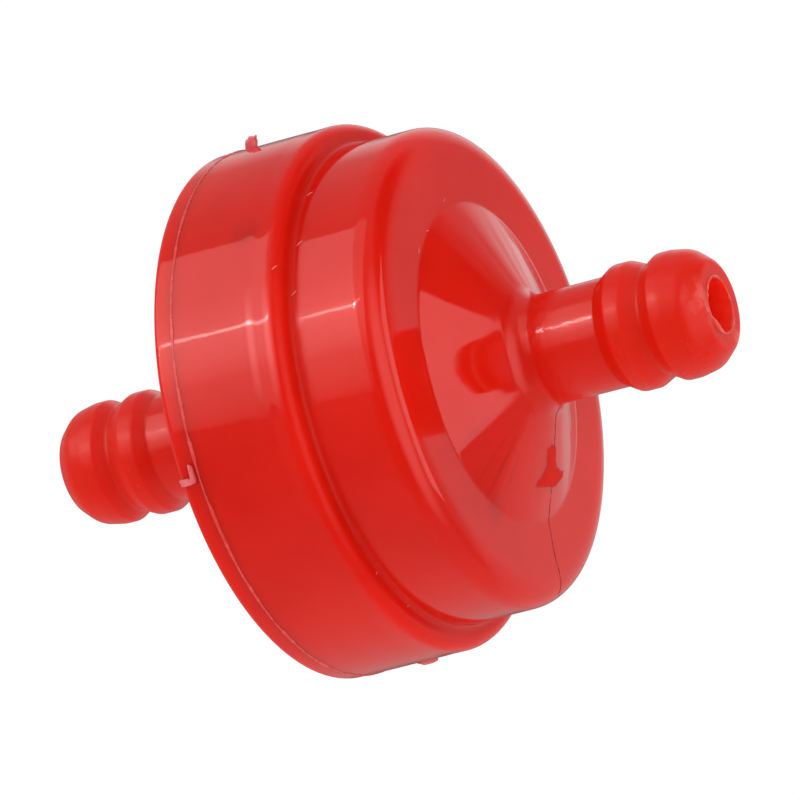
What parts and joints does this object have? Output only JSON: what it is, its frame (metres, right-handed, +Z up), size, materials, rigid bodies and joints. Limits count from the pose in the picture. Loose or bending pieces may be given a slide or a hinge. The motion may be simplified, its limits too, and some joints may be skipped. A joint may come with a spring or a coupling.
{
  "type": "inline fuel filter",
  "caption": "Round inline fuel filter of red plastic: a stepped body with a cone on its outlet side, a welded inlet cover and a hose barb at each end.",
  "frame": {"origin": "on the flow axis, midway between the two barb tips", "axes": "+X along the flow axis, towards the outlet barb; +Z up; the filter is round about X"},
  "size_m": [0.0476, 0.0354, 0.0354],
  "materials": {
    "outlet_housing": "glossy, slightly translucent red moulding",
    "inlet_cover": "glossy, slightly translucent red moulding",
    "screen_frame": "satin natural nylon",
    "filter_mesh": "woven nylon screen cloth"
  },
  "bodies": {
    "root": {"outlet_housing": "outlet_housing", "inlet_cover": "inlet_cover", "screen_frame": "screen_frame", "filter_mesh": "filter_mesh"}
  },
  "joints": []
}
